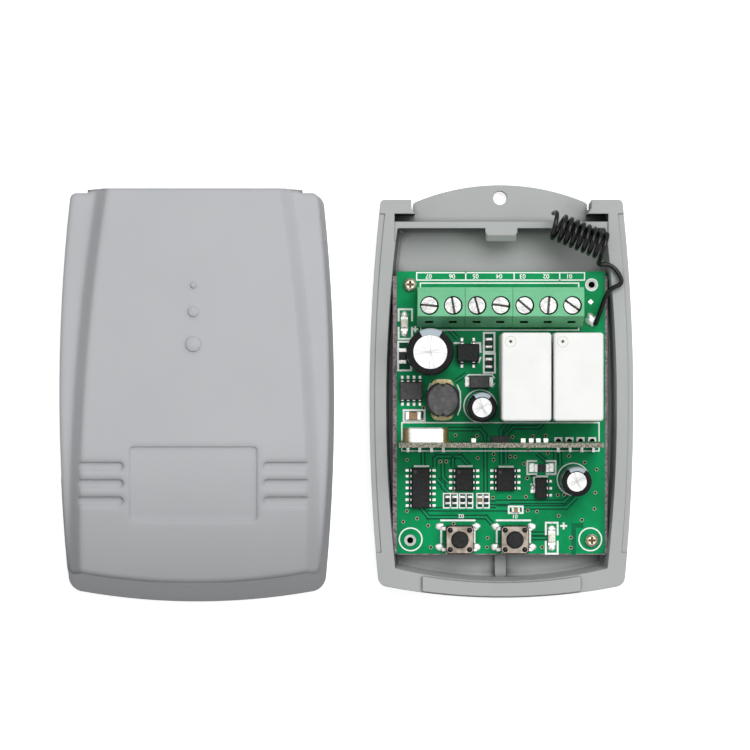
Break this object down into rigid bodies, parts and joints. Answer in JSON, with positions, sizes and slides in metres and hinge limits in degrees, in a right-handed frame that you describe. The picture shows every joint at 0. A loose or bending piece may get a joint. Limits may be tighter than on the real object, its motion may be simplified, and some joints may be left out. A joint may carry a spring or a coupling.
{
  "type": "garage door remote receiver",
  "caption": "Opened wall box of a garage door remote receiver: grey cover beside a grey tray with circuit board, screw terminals, relays, push switches and a coiled wire antenna.",
  "frame": {"origin": "middle of the tray's back face, on the wall side", "axes": "+X to the right seen from the front, +Y up towards the hanging tab, +Z out of the wall towards the person"},
  "size_m": [0.1239, 0.0905, 0.0228],
  "materials": {
    "case_grey": "fine matt texture",
    "board_green": "glossy solder mask",
    "terminal_green": "satin moulding",
    "relay_white": "satin moulding",
    "steel": "bright nickel plating",
    "tin": "tinned",
    "brass": "bare",
    "can_aluminium": "satin",
    "sleeve_black": "glossy film",
    "ferrite": "matt ground ferrite",
    "chip_black": "matt moulding",
    "ceramic": "glazed",
    "lamp_clear": "clear cast resin",
    "button_black": "matt moulding",
    "wire_black": "satin insulation"
  },
  "bodies": {
    "receiver": {"base_tray": "case_grey", "circuit_board": "board_green", "radio_module_board": "board_green", "board_screws": "steel", "left_switch_cover": "steel", "right_switch_cover": "steel", "radio_crystal": "steel", "switch_domes": "steel", "terminal_block_left": "terminal_green", "terminal_block_middle": "terminal_green", "terminal_block_right": "terminal_green", "terminal_contacts": "brass", "relay_left": "relay_white", "relay_right": "relay_white", "component_pins": "tin", "inductor_pads": "tin", "package_leads": "tin", "radio_module_pins": "tin", "switch_pins": "tin", "antenna_solder": "tin", "large_capacitor_can": "can_aluminium", "small_capacitor_cans": "can_aluminium", "large_capacitor_sleeve": "sleeve_black", "small_capacitor_sleeves": "sleeve_black", "inductor_core": "ferrite", "supply_chip": "chip_black", "microcontroller": "chip_black", "memory_chip": "chip_black", "decoder_chip": "chip_black", "bridge_rectifier": "chip_black", "rectifier_diode": "chip_black", "voltage_regulator": "chip_black", "radio_chip": "chip_black", "chip_resistors": "chip_black", "left_switch_housing": "chip_black", "right_switch_housing": "chip_black", "ceramic_capacitors": "ceramic", "power_led": "lamp_clear", "learn_led": "lamp_clear", "antenna_lead": "wire_black", "antenna_coil": "wire_black"},
    "cover": {"cover": "case_grey"},
    "screw_1": {"terminal_screw_1": "steel"},
    "clamp_1": {"terminal_clamp_1": "brass"},
    "screw_2": {"terminal_screw_2": "steel"},
    "clamp_2": {"terminal_clamp_2": "brass"},
    "screw_3": {"terminal_screw_3": "steel"},
    "clamp_3": {"terminal_clamp_3": "brass"},
    "screw_4": {"terminal_screw_4": "steel"},
    "clamp_4": {"terminal_clamp_4": "brass"},
    "screw_5": {"terminal_screw_5": "steel"},
    "clamp_5": {"terminal_clamp_5": "brass"},
    "screw_6": {"terminal_screw_6": "steel"},
    "clamp_6": {"terminal_clamp_6": "brass"},
    "screw_7": {"terminal_screw_7": "steel"},
    "clamp_7": {"terminal_clamp_7": "brass"},
    "left_button": {"left_switch_button": "button_black"},
    "right_button": {"right_switch_button": "button_black"}
  },
  "joints": [
    {"name": "cover_lift", "type": "slide", "parent": "receiver", "child": "cover", "axis": [0, 0, 1], "range_m": [0, 0.04]},
    {"name": "screw_turn_1", "type": "hinge", "parent": "receiver", "child": "screw_1", "pos_m": [-0.01562, 0.0198, 0.0166], "axis": [0, 0, -1], "range_deg": [0, 1584.2]},
    {"name": "screw_turn_2", "type": "hinge", "parent": "receiver", "child": "screw_2", "pos_m": [-0.01054, 0.0198, 0.0166], "axis": [0, 0, -1], "range_deg": [0, 1584.2]},
    {"name": "screw_turn_3", "type": "hinge", "parent": "receiver", "child": "screw_3", "pos_m": [-0.00546, 0.0198, 0.0166], "axis": [0, 0, -1], "range_deg": [0, 1584.2]},
    {"name": "screw_turn_4", "type": "hinge", "parent": "receiver", "child": "screw_4", "pos_m": [-0.00038, 0.0198, 0.0166], "axis": [0, 0, -1], "range_deg": [0, 1584.2]},
    {"name": "screw_turn_5", "type": "hinge", "parent": "receiver", "child": "screw_5", "pos_m": [0.0047, 0.0198, 0.0166], "axis": [0, 0, -1], "range_deg": [0, 1584.2]},
    {"name": "screw_turn_6", "type": "hinge", "parent": "receiver", "child": "screw_6", "pos_m": [0.00978, 0.0198, 0.0166], "axis": [0, 0, -1], "range_deg": [0, 1584.2]},
    {"name": "screw_turn_7", "type": "hinge", "parent": "receiver", "child": "screw_7", "pos_m": [0.01486, 0.0198, 0.0166], "axis": [0, 0, -1], "range_deg": [0, 1584.2]},
    {"name": "clamp_rise_1", "type": "slide", "parent": "receiver", "child": "clamp_1", "axis": [0, 0, 1], "range_m": [0, 0.0022]},
    {"name": "clamp_rise_2", "type": "slide", "parent": "receiver", "child": "clamp_2", "axis": [0, 0, 1], "range_m": [0, 0.0022]},
    {"name": "clamp_rise_3", "type": "slide", "parent": "receiver", "child": "clamp_3", "axis": [0, 0, 1], "range_m": [0, 0.0022]},
    {"name": "clamp_rise_4", "type": "slide", "parent": "receiver", "child": "clamp_4", "axis": [0, 0, 1], "range_m": [0, 0.0022]},
    {"name": "clamp_rise_5", "type": "slide", "parent": "receiver", "child": "clamp_5", "axis": [0, 0, 1], "range_m": [0, 0.0022]},
    {"name": "clamp_rise_6", "type": "slide", "parent": "receiver", "child": "clamp_6", "axis": [0, 0, 1], "range_m": [0, 0.0022]},
    {"name": "clamp_rise_7", "type": "slide", "parent": "receiver", "child": "clamp_7", "axis": [0, 0, 1], "range_m": [0, 0.0022]},
    {"name": "left_button_press", "type": "slide", "parent": "receiver", "child": "left_button", "axis": [0, 0, -1], "range_m": [0, 0.00025], "stiffness_N_per_m": 400},
    {"name": "right_button_press", "type": "slide", "parent": "receiver", "child": "right_button", "axis": [0, 0, -1], "range_m": [0, 0.00025], "stiffness_N_per_m": 400}
  ],
  "couplings": [
    {"joint": "screw_turn_1", "follows": "clamp_rise_1", "rad_per_m": 12566},
    {"joint": "screw_turn_2", "follows": "clamp_rise_2", "rad_per_m": 12566},
    {"joint": "screw_turn_3", "follows": "clamp_rise_3", "rad_per_m": 12566},
    {"joint": "screw_turn_4", "follows": "clamp_rise_4", "rad_per_m": 12566},
    {"joint": "screw_turn_5", "follows": "clamp_rise_5", "rad_per_m": 12566},
    {"joint": "screw_turn_6", "follows": "clamp_rise_6", "rad_per_m": 12566},
    {"joint": "screw_turn_7", "follows": "clamp_rise_7", "rad_per_m": 12566}
  ]
}
